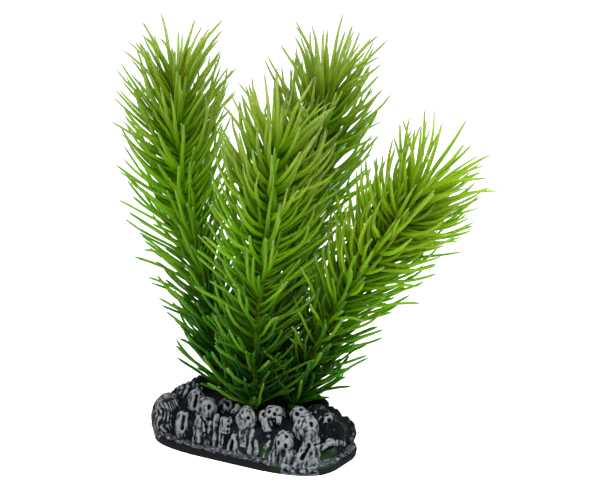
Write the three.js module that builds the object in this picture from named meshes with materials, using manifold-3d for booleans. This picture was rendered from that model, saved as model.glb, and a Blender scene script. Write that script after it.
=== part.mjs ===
// An artificial mayaca: four moulded plastic stems with whorls of needles, in a cast rock foot.
// Millimetres, +Z up. The origin is the centre of the foot's flat underside.
// +X runs along the foot to its right end, and -Y is the front.
import * as THREE from "three";
import { mergeVertices } from "three/addons/utils/BufferGeometryUtils.js";
import Module from "manifold-3d";

const wasm = await Module();
wasm.setup();

// Foot
const FOOT_LENGTH = 73;
const FOOT_DEPTH = 39;
const FOOT_SQUARENESS = 3.4; // power of the footprint's rounded oblong
const FOOT_SIDES = 28;
const KNOB_SIDES = 7;
const KNOB_LEVELS = 3;
const RUN_SIDES = 5;
const PIT_SIDES = 4;
const PIT_LEVELS = 2;
const SKY = 100; // higher than anything on the foot

// The foot's plain body: height, then how far it stands in from the footprint at that height.
// A plinth comes first, then the ledge on it, the wall, the shoulder and the top.
const BODY_LEVELS = [[0, 0], [2.8, 0], [3.2, 2.2], [11, 4.4], [13.6, 7], [15.4, 11]];

// Stems
const SHAFT_RADIUS = 1.6;
const SHAFT_TIP_RADIUS = 0.9;
const SHAFT_SIDES = 6;
const SHAFT_STEPS = 9;
const SHAFT_PIECES = 24; // straight pieces that stand for a shaft where needles keep clear of it
const SOCKET_GAP = 0.35; // clear space round and under a stem in its socket
const SOCKET_REACH = 20; // the socket is cut this far up, through any knob beside it
const SOCKET_SIDES = 8;

// Whorls
const NEEDLES_PER_WHORL = 6;
const FIRST_WHORL = 8.5; // along the shaft from its lower end
const LAST_WHORL = 2; // from the shaft's tip
const WHORL_CLOSING = 0.62; // how much the spacing closes up from the base to the crown
const CROWN_SHARE = 0.2; // share of the whorls that make up the crown
const LOW_SHARE = 0.55; // share of the whorls, at the base, whose needles are shorter

// Needles
const NEEDLE_LENGTH = 31;
const LOW_SHORTENING = 0.16;
const CROWN_SHORTENING = 0.01;
const LENGTH_SPREAD = 0.08;
const NEEDLE_WIDTH = 1.5;
const NEEDLE_SIDES = 3;
const CORNER_SHARE = 0.46; // where a needle's solid has its corner, along its curve
const ROOT_DEPTH = 0.7; // how far past the shaft's middle a needle starts, in shaft radii
const NEEDLE_ROOM = 1.6; // least distance between the centre lines of two needles
const SHAFT_ROOM = 2.7; // least distance from a needle's centre line to another stem's

// Degrees between the shaft and each third of a needle: the share of its stem's bend that is added
// to the stem's lean, how much less it is in the crown, and how much it varies from needle to needle
const LEANS = {
  lower: { bendShare: 0.5, crownLoss: 20, varies: 6, crownVaries: 4 },
  middle: { bendShare: 0, crownLoss: 15, varies: 8, crownVaries: 0 },
  upper: { bendShare: -0.5, crownLoss: 8, varies: 24, crownVaries: -8 },
};
const TURN_VARIES = 12; // degrees round the shaft
const SIDEWAYS_VARIES = 12; // degrees of bend to one side

// Below their crowns the stems are moulded a little flat, with more needles at the two sides.
const FLAT_FACING = -59; // degrees round the shaft to the middle of the flat front
const FLATTENING = 16; // the most degrees that a needle is turned by

// Each trait varies by multiples of its own square root, so that no two needles are alike.
const ROOTS = { turn: 2, length: 3, lower: 5, middle: 7, upper: 11, sideways: 13 };

// A stem's centre line is a cubic Bezier curve. Its first point is the bottom of its socket.
// Its needles lean from the shaft by about lean, and straighten up by bend towards their tips.
const STEMS = {
  stem_left: {
    line: [[-12, 4, 7.5], [-14, 4, 45], [-36.5, 4, 79], [-33, 4, 121]],
    whorls: 18,
    turned: 0,
    lean: 44,
    bend: 16,
  },
  stem_front: {
    line: [[1, -3, 7.5], [5, -7, 45], [9.5, -9, 75], [14.5, -9, 110]],
    whorls: 17,
    turned: 20,
    lean: 47,
    bend: 36,
  },
  stem_back: {
    line: [[1, 8, 7.5], [3, 14, 55], [13, 16, 90], [19.5, 15, 124]],
    whorls: 18,
    turned: 40,
    lean: 43,
    bend: 26,
  },
  stem_right: {
    line: [[11, 4, 7.5], [19, 6, 46], [42, 7, 72], [59.5, 6, 98]],
    whorls: 18,
    turned: 10,
    lean: 44,
    bend: 28,
  },
};

// Turns and lifts, in degrees, that a needle tries in order until it clears its neighbours
const SWINGS = [
  [0, 0], [8, 0], [-8, 0], [0, 7], [0, -7], [16, 0], [-16, 0],
  [10, 8], [-10, 8], [10, -8], [-10, -8], [24, 0], [-24, 0],
];
const LENGTHS_TRIED = [1, 0.85, 0.7, 0.5]; // shares of its own length, when no swing clears them

// Rock knobs: centre, then half sizes along X, Y and Z
const KNOBS = {
  cornerLeft: [[-29.6, -10.2, 7.8], [5.8, 6.4, 9.2]],
  backLeft: [[-25, -3, 14.8], [4.6, 4.8, 4.8]],
  darkBack: [[-25.5, 6, 14], [5.4, 5.2, 5]],
  slotted: [[-18, -9.5, 15], [3, 3.6, 5.6]],
  ringed: [[-20, -15.2, 8.4], [3, 2.8, 5.4]],
  headA: [[-11, -13.6, 16], [3.5, 3.6, 4.2]],
  looped: [[-6.2, -8.5, 15.8], [3, 2.8, 3.2]],
  headC: [[5.6, -14.2, 15.2], [3.4, 3.4, 5]],
  forked: [[14, -10, 18], [3.4, 3.2, 2.6]],
  inner: [[12.4, -5.4, 15.2], [3.8, 3.4, 3.4]],
  innerRight: [[21.6, -5, 17.4], [3.4, 3, 2.8]],
  behindG: [[24, 3, 14.6], [4.4, 4, 4]],
  headH: [[21.2, -14.4, 10.4], [3.5, 3.5, 3.9]],
  headG: [[27.8, -11.2, 15.6], [4.3, 4.2, 4.8]],
  rightTop: [[28, 2, 13.2], [3.6, 3.8, 3.8]],
  backRight: [[18.2, 12, 13.6], [4.4, 4.2, 4.6]],
  backCorner: [[24.8, 9.6, 11.4], [4.4, 4.2, 4.6]],
  endRight: [[31.4, -0.6, 8], [4.2, 7.2, 7]],
  endLeft: [[-32.6, 2, 8], [3.6, 6, 7.2]],
  cornerBackLeft: [[-29.6, 12, 8], [4.6, 4.8, 7]],
  backA: [[-17, 13.2, 13], [4.6, 4.6, 5.2]],
  backC: [[-1.4, 15, 12.8], [4.2, 3.6, 5]],
  backE: [[9.4, 14.8, 13], [4.6, 3.8, 5]],
  cornerBackRight: [[29.6, 10.8, 7], [4.4, 4.8, 5.8]],
};

// Drips, columns and skirts of rock: from, to, first radius, second radius
const RUNS = [
  // under the left head
  [[-11.7, -14.8, 14], [-12.6, -15.2, 2.8], 2.6, 3.3],
  // a column with a leg to the left
  [[-2.2, -14.6, 14.6], [-2.2, -15.6, 9.4], 1.9, 2.3],
  [[-2.8, -15.6, 9.4], [-3.8, -16.8, 2.8], 1.7, 1.2],
  // two legs of an arch
  [[1.7, -15.8, 9.6], [-0.4, -17, 3], 0.9, 1],
  [[1.7, -15.8, 9.8], [3.5, -16.8, 3.2], 1, 1.4],
  // under the middle head
  [[5.4, -14.6, 13], [5.6, -16.2, 6], 2.2, 1.4],
  // a lobe of the forked head
  [[12.6, -12.4, 16.6], [14.4, -14.4, 12.6], 1.8, 1.5],
  // skirts of the two right heads
  [[20.8, -14.6, 9], [17, -16.4, 2.6], 2.8, 2.3],
  [[22.6, -14.4, 8], [23, -16.2, 2], 2.6, 2.7],
  [[29, -11.8, 15], [30.6, -12, 10.8], 3.5, 2.7],
  [[31, -11.6, 10.4], [31.2, -13.2, 1.6], 2.4, 2.4],
  [[29, -12.4, 10.8], [25.6, -15.8, 1.2], 1.6, 2.1],
  [[28.8, -11.8, 10], [28.6, -14.6, 1], 2, 2.3],
  // an arched arm at the right end
  [[33.2, -10.6, 9], [34.6, -7.4, 10.7], 0.9, 1.1],
  [[34.6, -7.4, 10.7], [35, 1.6, 7.4], 1.1, 0.9],
];

// Eye-like pits in the knobs that face the front: centre, then half sizes along X, Y and Z
const PITS = {
  slottedLong: [[-16.6, -12.1, 17.2], [0.8, 1.5, 2.6]],
  ringedLong: [[-18.7, -17.2, 10.2], [0.8, 1.4, 2.8]],
  headA: [[-8.6, -15.6, 17.9], [1, 1.3, 1]],
  looped: [[-4.6, -10, 17.9], [1, 1.2, 0.9]],
  arch: [[1.1, -17.1, 5.7], [0.8, 1.3, 2]],
  headC: [[5.2, -16.3, 19], [0.8, 1.1, 0.8]],
  forked: [[15.8, -12.4, 19.1], [0.8, 1.1, 0.8]],
  headH: [[20.5, -17.7, 11.2], [0.9, 1.2, 0.9]],
  headGLeft: [[26.1, -13.9, 18.7], [1, 1.3, 1]],
  headGRight: [[30.9, -12.6, 18.5], [1, 1.3, 1]],
  headGLong: [[29.8, -15, 8.8], [1, 1.4, 2.8]],
  rightTop: [[27.9, -0.8, 15.3], [1, 1.2, 0.9]],
  arm: [[34.4, -6.2, 8], [1, 1.4, 0.9]],
};

const SAME_POINT = 1e-4; // points closer than this are one
const SAME_LEVEL = 1e-3; // heights closer than this are one
const NEARLY_ZERO = 1e-9;

// Solids

// A closed geometry as a solid that can be joined and cut
function solidOf(geometry) {
  const bare = geometry.clone();
  bare.deleteAttribute("normal");
  bare.deleteAttribute("uv");
  const merged = mergeVertices(bare, SAME_POINT);
  return new wasm.Manifold(new wasm.Mesh({
    numProp: 3,
    vertProperties: new Float32Array(merged.attributes.position.array),
    triVerts: new Uint32Array(merged.index.array),
  }));
}

function meshOf(solid, name, material) {
  const found = solid.getMesh();
  const geometry = new THREE.BufferGeometry();
  geometry.setAttribute("position", new THREE.BufferAttribute(found.vertProperties, 3));
  geometry.setIndex(new THREE.BufferAttribute(found.triVerts, 1));
  geometry.computeVertexNormals();
  const mesh = new THREE.Mesh(geometry, material);
  mesh.name = name;
  return mesh;
}

// Moves each point of a cylinder of unit radius, which stands on Z from 0 to 1, on to a centre line.
// placeAt gives the point, the two cross directions and the radius at a height.
function follow(cylinder, placeAt) {
  const position = cylinder.attributes.position;
  for (let i = 0; i < position.count; i += 1) {
    const { point, across, over, radius } = placeAt(position.getZ(i));
    const moved = point.clone()
      .addScaledVector(across, position.getX(i) * radius)
      .addScaledVector(over, position.getY(i) * radius);
    position.setXYZ(i, moved.x, moved.y, moved.z);
  }
  return cylinder;
}

function standingCylinder(topRadius, sides, steps) {
  const cylinder = new THREE.CylinderGeometry(topRadius, 1, 1, sides, steps);
  return cylinder.rotateX(Math.PI / 2).translate(0, 0, 0.5);
}

// Stems

// A value from -1 to 1 that differs from needle to needle: the fraction of a multiple of a root
function spread(count, root) {
  const multiple = count * Math.sqrt(root);
  return 2 * (multiple - Math.floor(multiple)) - 1;
}

function radians(degrees) {
  return degrees * Math.PI / 180;
}

function curveOf(plan) {
  return new THREE.CubicBezierCurve3(...plan.line.map((point) => new THREE.Vector3(...point)));
}

// Two directions square to the axis, the same for every whorl of a stem
function crossDirections(axis) {
  const across = new THREE.Vector3(0, 1, 0).cross(axis).normalize();
  const over = new THREE.Vector3().crossVectors(axis, across);
  return { across, over };
}

function placeOnShaft(curve, height) {
  const axis = curve.getTangentAt(height);
  return {
    point: curve.getPointAt(height),
    axis,
    ...crossDirections(axis),
    radius: THREE.MathUtils.lerp(SHAFT_RADIUS, SHAFT_TIP_RADIUS, height),
  };
}

function shaftOf(curve) {
  const cylinder = standingCylinder(1, SHAFT_SIDES, SHAFT_STEPS);
  return follow(cylinder, (height) => placeOnShaft(curve, height));
}

// Least distance between two straight lines, each from one point to another
function distanceBetween(fromA, toA, fromB, toB) {
  const alongA = toA.clone().sub(fromA);
  const alongB = toB.clone().sub(fromB);
  const apart = fromA.clone().sub(fromB);
  const lengthA = alongA.lengthSq();
  const lengthB = alongB.lengthSq();
  const common = alongA.dot(alongB);
  const apartA = alongA.dot(apart);
  const apartB = alongB.dot(apart);
  const area = lengthA * lengthB - common * common;
  const nearest = area > NEARLY_ZERO ? (common * apartB - apartA * lengthB) / area : 0;
  const firstA = THREE.MathUtils.clamp(nearest, 0, 1);
  const onB = THREE.MathUtils.clamp((common * firstA + apartB) / lengthB, 0, 1);
  const onA = THREE.MathUtils.clamp((common * onB - apartA) / lengthA, 0, 1);
  return apart.addScaledVector(alongA, onA).addScaledVector(alongB, -onB).length();
}

// The root, corner and tip of a needle, and the direction across it
function needleLine(place, traits, turn, lift, shortening) {
  const { point, axis, across, over, radius } = place;
  const around = radians(traits.around + turn);
  const out = across.clone().multiplyScalar(Math.cos(around));
  out.addScaledVector(over, Math.sin(around));
  const side = new THREE.Vector3().crossVectors(axis, out);
  const third = traits.length * shortening / 3;
  const root = point.clone().addScaledVector(out, -ROOT_DEPTH * radius);
  const points = [root];
  for (const [lean, sideways] of traits.legs) {
    const outwards = Math.sin(radians(lean + lift));
    points.push(points.at(-1).clone()
      .addScaledVector(axis, third * Math.cos(radians(lean + lift)))
      .addScaledVector(out, third * outwards * Math.cos(radians(sideways)))
      .addScaledVector(side, third * outwards * Math.sin(radians(sideways))));
  }
  const curve = new THREE.CubicBezierCurve3(...points);
  return { points: [root, curve.getPoint(CORNER_SHARE), points.at(-1)], side };
}

// The parts of a needle that have to clear others. Its crowded root isn't one of them.
function clearParts({ points: [root, corner, tip] }) {
  return [[root.clone().lerp(corner, 0.5), corner], [corner, tip]];
}

function clears(part, others, room) {
  return others.every((other) => distanceBetween(...part, ...other) > room);
}

function hasRoom(needle, placed, otherShafts) {
  return clearParts(needle).every((part) => (
    clears(part, placed, NEEDLE_ROOM) && clears(part, otherShafts, SHAFT_ROOM)
  ));
}

// The first way of growing the needle that clears all that stands already, or null
function grownNeedle(place, traits, placed, otherShafts) {
  for (const shortening of LENGTHS_TRIED) {
    for (const [turn, lift] of SWINGS) {
      const needle = needleLine(place, traits, turn, lift, shortening);
      if (hasRoom(needle, placed, otherShafts)) {
        return needle;
      }
    }
  }
  return null;
}

// The lean of one third of a needle. In the crown, crown is 1.
function leanOf(third, plan, crown, n) {
  const { bendShare, crownLoss, varies, crownVaries } = LEANS[third];
  const usual = plan.lean + bendShare * plan.bend - crownLoss * crown;
  return usual + (varies + crownVaries * crown) * spread(n, ROOTS[third]);
}

// An angle round the shaft, turned towards the nearer side except in the crown
function flattened(angle, crown) {
  return angle + FLATTENING * (1 - crown) * Math.sin(2 * radians(angle - FLAT_FACING));
}

// What needle number n of the part is like, at a share of the way up its stem's whorls
function traitsOf(plan, n, angle, share) {
  const crown = THREE.MathUtils.smoothstep(share, 1 - CROWN_SHARE, 1);
  const low = 1 - THREE.MathUtils.smoothstep(share, 0, LOW_SHARE);
  const shortened = 1 - LOW_SHORTENING * low - CROWN_SHORTENING * crown;
  const sideways = SIDEWAYS_VARIES * spread(n, ROOTS.sideways);
  return {
    around: flattened(angle + TURN_VARIES * spread(n, ROOTS.turn), crown),
    length: NEEDLE_LENGTH * shortened * (1 + LENGTH_SPREAD * spread(n, ROOTS.length)),
    legs: [
      [leanOf("lower", plan, crown, n), 0],
      [leanOf("middle", plan, crown, n), sideways],
      [leanOf("upper", plan, crown, n), 2 * sideways],
    ],
  };
}

// Where a whorl stands on its shaft, as a share of the shaft's length
function whorlHeight(share, length) {
  const eased = share + (1 - WHORL_CLOSING) * (share - share * share) / 2;
  return (FIRST_WHORL + (length - FIRST_WHORL - LAST_WHORL) * eased) / length;
}

// All needles of a stem, whorl by whorl from the base to the crown. Every second whorl is turned
// by half the angle between two needles.
function needlesOf(plan, curve, firstNumber, placed, otherShafts) {
  const needles = [];
  const apart = 360 / NEEDLES_PER_WHORL;
  let n = firstNumber;
  for (let whorl = 0; whorl < plan.whorls; whorl += 1) {
    const share = whorl / (plan.whorls - 1);
    const place = placeOnShaft(curve, whorlHeight(share, curve.getLength()));
    for (let k = 0; k < NEEDLES_PER_WHORL; k += 1) {
      const angle = plan.turned + apart * (k + (whorl % 2) / 2);
      const needle = grownNeedle(place, traitsOf(plan, n, angle, share), placed, otherShafts);
      if (needle) {
        needles.push(needle);
        placed.push(...clearParts(needle));
      }
      n += 1;
    }
  }
  return needles;
}

// A spindle that runs through a needle's three points, sharp at its root and at its tip
function spikeOf({ points, side }) {
  const spindle = new THREE.SphereGeometry(1, NEEDLE_SIDES, 2).rotateX(Math.PI / 2);
  const corners = spindle.attributes.position;
  const over = points.at(-1).clone().sub(points[0]).cross(side).normalize();
  for (let i = 0; i < corners.count; i += 1) {
    const level = Math.round(corners.getZ(i)) + 1;
    const corner = new THREE.Vector2(corners.getX(i), corners.getY(i));
    corner.multiplyScalar(level === 1 ? NEEDLE_WIDTH / Math.sqrt(3) : 0);
    const moved = points[level].clone()
      .addScaledVector(side, corner.x)
      .addScaledVector(over, corner.y);
    corners.setXYZ(i, moved.x, moved.y, moved.z);
  }
  return spindle;
}

function straightPieces(curve) {
  const points = curve.getSpacedPoints(SHAFT_PIECES);
  return points.slice(1).map((to, i) => [points[i], to]);
}

function stemSolids() {
  const stems = Object.entries(STEMS).map(([name, plan]) => ({ name, plan, curve: curveOf(plan) }));
  const placed = [];
  let firstNumber = 1;
  for (const stem of stems) {
    const others = stems.filter((other) => other !== stem);
    const otherShafts = others.flatMap((other) => straightPieces(other.curve));
    stem.solid = solidOf(shaftOf(stem.curve));
    for (const needle of needlesOf(stem.plan, stem.curve, firstNumber, placed, otherShafts)) {
      stem.solid = stem.solid.add(solidOf(spikeOf(needle)));
    }
    firstNumber += stem.plan.whorls * NEEDLES_PER_WHORL;
  }
  return stems;
}

// Foot

// Stretches a circle of radius 1 into the rounded oblong of the footprint.
function oblong(x, y, halfLength, halfDepth) {
  const radius = Math.hypot(x, y);
  if (radius < NEARLY_ZERO) {
    return [0, 0];
  }
  const power = 2 / FOOT_SQUARENESS;
  const cosine = x / radius;
  const sine = y / radius;
  return [
    radius * halfLength * Math.sign(cosine) * Math.abs(cosine) ** power,
    radius * halfDepth * Math.sign(sine) * Math.abs(sine) ** power,
  ];
}

// The casting's plain body, turned from its profile and stretched level by level
function footBody() {
  const profile = BODY_LEVELS.map(([height]) => new THREE.Vector2(1, height));
  profile.unshift(new THREE.Vector2(0, 0));
  profile.push(new THREE.Vector2(0, profile.at(-1).y));
  const body = new THREE.LatheGeometry(profile, FOOT_SIDES).rotateX(Math.PI / 2);
  const position = body.attributes.position;
  for (let i = 0; i < position.count; i += 1) {
    const height = position.getZ(i);
    const [, inset] = BODY_LEVELS.find(([level]) => Math.abs(level - height) < SAME_LEVEL);
    const halfLength = FOOT_LENGTH / 2 - inset;
    const halfDepth = FOOT_DEPTH / 2 - inset;
    const [x, y] = oblong(position.getX(i), position.getY(i), halfLength, halfDepth);
    position.setXYZ(i, x, y, height);
  }
  return body;
}

function knobOf([centre, radii]) {
  const ball = new THREE.SphereGeometry(1, KNOB_SIDES, KNOB_LEVELS).rotateX(Math.PI / 2);
  return ball.scale(...radii).translate(...centre);
}

function runOf([from, to, upperRadius, lowerRadius]) {
  const start = new THREE.Vector3(...from);
  const end = new THREE.Vector3(...to);
  const directions = crossDirections(start.clone().sub(end).normalize());
  const cylinder = standingCylinder(upperRadius / lowerRadius, RUN_SIDES, 1);
  return follow(cylinder, (height) => (
    { point: end.clone().lerp(start, height), ...directions, radius: lowerRadius }
  ));
}

function pitOf([centre, radii]) {
  return new THREE.SphereGeometry(1, PIT_SIDES, PIT_LEVELS).scale(...radii).translate(...centre);
}

// A straight hole round the lower end of a stem, with flat sides that clear the shaft all round
function socketOf(curve) {
  const { point, axis, across, over } = placeOnShaft(curve, 0);
  const bottom = point.clone().addScaledVector(axis, -SOCKET_GAP);
  return follow(standingCylinder(1, SOCKET_SIDES, 1), (height) => ({
    point: bottom.clone().addScaledVector(axis, height * SOCKET_REACH),
    across,
    over,
    radius: (SHAFT_RADIUS + SOCKET_GAP) / Math.cos(Math.PI / SOCKET_SIDES),
  }));
}

function footSolid(curves) {
  const cuts = [...Object.values(PITS).map(pitOf), ...curves.map(socketOf)];
  const rock = [...Object.values(KNOBS).map(knobOf), ...RUNS.map(runOf)];
  const aboveFloor = new THREE.BoxGeometry(2 * FOOT_LENGTH, 2 * FOOT_DEPTH, SKY);
  aboveFloor.translate(0, 0, SKY / 2);
  let solid = solidOf(footBody());
  for (const lump of rock) {
    solid = solid.add(solidOf(lump));
  }
  for (const cut of cuts) {
    solid = solid.subtract(solidOf(cut));
  }
  return solid.intersect(solidOf(aboveFloor));
}

// Assembly

const paintedRock = new THREE.MeshStandardMaterial({
  color: 0x34363d,
  roughness: 0.55,
  metalness: 0,
});
const greenPlastic = new THREE.MeshStandardMaterial({
  color: 0x5c8f1c,
  roughness: 0.42,
  metalness: 0,
});

const stems = stemSolids();
const group = new THREE.Group();
group.add(meshOf(footSolid(stems.map(({ curve }) => curve)), "foot", paintedRock));
for (const { name, solid } of stems) {
  group.add(meshOf(solid, name, greenPlastic));
}

export default group;
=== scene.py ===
# An artificial mayaca: four moulded plastic stems of needles in a cast and painted rock foot.
# The plans below are in millimetres and degrees, apart from the lights. Blender gets metres.
import math
import bpy
import numpy as np
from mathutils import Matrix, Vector, noise


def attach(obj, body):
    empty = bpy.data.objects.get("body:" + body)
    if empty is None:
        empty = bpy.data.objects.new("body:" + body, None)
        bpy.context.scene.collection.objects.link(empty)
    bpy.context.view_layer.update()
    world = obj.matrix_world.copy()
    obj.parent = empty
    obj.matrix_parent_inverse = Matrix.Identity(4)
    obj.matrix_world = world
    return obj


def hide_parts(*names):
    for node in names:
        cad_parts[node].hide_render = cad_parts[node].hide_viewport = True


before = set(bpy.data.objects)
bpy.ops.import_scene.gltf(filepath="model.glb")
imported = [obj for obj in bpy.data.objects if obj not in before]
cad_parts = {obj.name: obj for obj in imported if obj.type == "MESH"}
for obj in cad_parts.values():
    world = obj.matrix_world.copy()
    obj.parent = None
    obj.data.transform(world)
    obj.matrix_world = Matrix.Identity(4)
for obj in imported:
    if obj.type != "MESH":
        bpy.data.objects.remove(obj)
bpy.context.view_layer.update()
mm = 0.001
tiny = 1e-12  # added to a length that mustn't be quite nought


def addToScene(name, data):
    thing = bpy.data.objects.new(name, data)
    bpy.context.scene.collection.objects.link(thing)
    return thing


# camera: the photo looks down a little, from the front and right of the foot
cameraPlan = {
    "azimuth": 31,
    "elevation": 17,
    "distance": 850,
    "target": (2.9, 26.1, 68.9),
    "lens": 144.8,
    "sensor": 36,  # its width
    "sees": (10, 20000),  # the nearest and the farthest
}


def backDirection(azimuth, elevation):
    a, e = math.radians(azimuth), math.radians(elevation)
    return Vector((math.sin(a) * math.cos(e), -math.cos(a) * math.cos(e), math.sin(e)))


def aimAt(thing, place, target):
    thing.location = place
    thing.rotation_euler = (target - place).to_track_quat("-Z", "Y").to_euler()


def addCamera(plan):
    lensData = bpy.data.cameras.new("camera")
    lensData.lens = plan["lens"]
    lensData.sensor_width = plan["sensor"]
    lensData.clip_start, lensData.clip_end = (reach * mm for reach in plan["sees"])
    camera = addToScene("camera", lensData)
    target = Vector(plan["target"]) * mm
    back = backDirection(plan["azimuth"], plan["elevation"])
    aimAt(camera, target + back * plan["distance"] * mm, target)
    bpy.context.scene.camera = camera


addCamera(cameraPlan)
print("camera placed")


# shared mesh and material helpers
def unit(vectors):
    return vectors / np.linalg.norm(vectors, axis=-1, keepdims=True)


def smooth(low, high, values):
    held = np.clip((values - low) / (high - low), 0, 1)
    return held * held * (3 - 2 * held)


def between(first, second, share):
    return first + (second - first) * share


def meshObject(name, points, faces, masks, material):
    mesh = bpy.data.meshes.new(name)
    mesh.from_pydata((points * mm).tolist(), [], faces)
    for maskName, values in masks.items():
        layer = mesh.attributes.new(maskName, "FLOAT", "POINT")
        layer.data.foreach_set("value", np.asarray(values, np.float32))
    mesh.polygons.foreach_set("use_smooth", [True] * len(mesh.polygons))
    mesh.materials.append(material)
    return addToScene(name, mesh)


class MeshParts:  # gathers closed pieces that end up in one mesh
    def __init__(self, maskNames):
        self.points, self.faces, self.count = [], [], 0
        self.masks = {name: [] for name in maskNames}

    def add(self, points, faces, **masks):
        self.points.append(points)
        self.faces += [tuple(corner + self.count for corner in face) for face in faces]
        self.count += len(points)
        for name, values in masks.items():
            self.masks[name].append(np.broadcast_to(values, len(points)))

    def joined(self):
        masks = {name: np.concatenate(values) for name, values in self.masks.items()}
        return np.concatenate(self.points), self.faces, masks


def tubeFaces(rings, sides):  # quads between rings, and a fan at each end
    faces = []
    for ring in range(rings - 1):
        for side in range(sides):
            a, b = ring * sides + side, ring * sides + (side + 1) % sides
            faces.append((a, b, b + sides, a + sides))
    start, end, last = rings * sides, rings * sides + 1, (rings - 1) * sides
    for side in range(sides):
        after = (side + 1) % sides
        faces.append((start, after, side))
        faces.append((end, last + side, last + after))
    return faces


def tubePoints(centres, across, over, halfWidths, halfDepths, sides):
    turns = np.arange(sides) * 2 * math.pi / sides
    wide = np.cos(turns)[None, :, None] * (across * halfWidths[:, None])[:, None, :]
    deep = np.sin(turns)[None, :, None] * (over * halfDepths[:, None])[:, None, :]
    rings = centres[:, None, :] + wide + deep
    return np.concatenate([rings.reshape(-1, 3), centres[:1], centres[-1:]])


def feed(tree, socket, value):  # a link from another node, or a plain value
    if isinstance(value, bpy.types.NodeSocket):
        tree.links.new(value, socket)
    else:
        socket.default_value = value


def feedAll(tree, node, inputs):
    for name, value in inputs.items():
        feed(tree, node.inputs[name], value)


def addNode(tree, kind, inputs=None, **settings):
    node = tree.nodes.new("ShaderNode" + kind)
    for name, value in settings.items():
        setattr(node, name, value)
    feedAll(tree, node, inputs or {})
    return node


def mixColour(tree, factor, first, second):
    node = addNode(tree, "Mix", data_type="RGBA")
    for socket, value in ((0, factor), (6, first), (7, second)):  # its factor and two colours
        feed(tree, node.inputs[socket], value)
    return node.outputs[2]


def mathOf(tree, operation, first, second=0.0, third=0.0, clamp=False):
    node = addNode(tree, "Math", operation=operation, use_clamp=clamp)
    for socket, value in enumerate((first, second, third)):
        feed(tree, node.inputs[socket], value)
    return node.outputs[0]


def product(tree, first, second, clamp=False):
    return mathOf(tree, "MULTIPLY", first, second, clamp=clamp)


def scaled(tree, value, pair, clamp=False):  # times the first of the pair, plus the second
    return mathOf(tree, "MULTIPLY_ADD", value, *pair, clamp=clamp)


def rampOf(tree, factor, stops):
    node = addNode(tree, "ValToRGB", {"Fac": factor})
    ramp = node.color_ramp
    while len(ramp.elements) < len(stops):
        ramp.elements.new(0.5)
    for element, (place, colour) in zip(ramp.elements, stops):
        element.position = place
        element.color = colour
    return node.outputs["Color"]


def maskOf(tree, name):
    return addNode(tree, "Attribute", attribute_name=name).outputs["Fac"]


def surfaceGrainGroup():  # mottle and fine height for any cast or moulded surface
    tree = bpy.data.node_groups.new("surface grain", "ShaderNodeTree")
    for name, default in (("Coarse Scale", 300.0), ("Fine Scale", 1500.0), ("Contrast", 1.0)):
        socket = tree.interface.new_socket(name, in_out="INPUT", socket_type="NodeSocketFloat")
        socket.default_value = default
    for name in ("Mottle", "Height"):
        tree.interface.new_socket(name, in_out="OUTPUT", socket_type="NodeSocketFloat")
    entry, leave = tree.nodes.new("NodeGroupInput"), tree.nodes.new("NodeGroupOutput")
    place = addNode(tree, "TexCoord").outputs["Object"]
    coarse = addNode(tree, "TexNoise", {
        "Vector": place, "Scale": entry.outputs["Coarse Scale"], "Detail": 4.0})
    fine = addNode(tree, "TexNoise", {
        "Vector": place, "Scale": entry.outputs["Fine Scale"], "Detail": 3.0})
    centred = mathOf(tree, "SUBTRACT", coarse.outputs["Fac"], 0.5)
    stretched = scaled(tree, centred, (entry.outputs["Contrast"], 0.5))
    feedAll(tree, leave, {
        "Mottle": mathOf(tree, "MAXIMUM", stretched, 0.0),
        "Height": scaled(tree, coarse.outputs["Fac"], (0.5, fine.outputs["Fac"])),
    })
    return tree


surfaceGrain = surfaceGrainGroup()


def addGrain(tree, scales):  # coarse scale, fine scale, contrast
    node = addNode(tree, "Group", node_tree=surfaceGrain)
    feedAll(tree, node, dict(zip(("Coarse Scale", "Fine Scale", "Contrast"), scales)))
    return node


def newMaterial(name):
    material = bpy.data.materials.new(name)
    material.use_nodes = True
    tree = material.node_tree
    return material, tree, tree.nodes["Principled BSDF"]


def finishSurface(tree, shader, look, grain, colour):
    strength, depth = look["bump"]
    bump = addNode(tree, "Bump", {
        "Height": grain.outputs["Height"], "Strength": strength, "Distance": depth * mm})
    feedAll(tree, shader, {
        "Base Color": colour,
        "Roughness": scaled(tree, grain.outputs["Mottle"], look["roughness"]),
        "Normal": bump.outputs["Normal"],
        "Specular IOR Level": look["specular"],
    })


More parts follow.
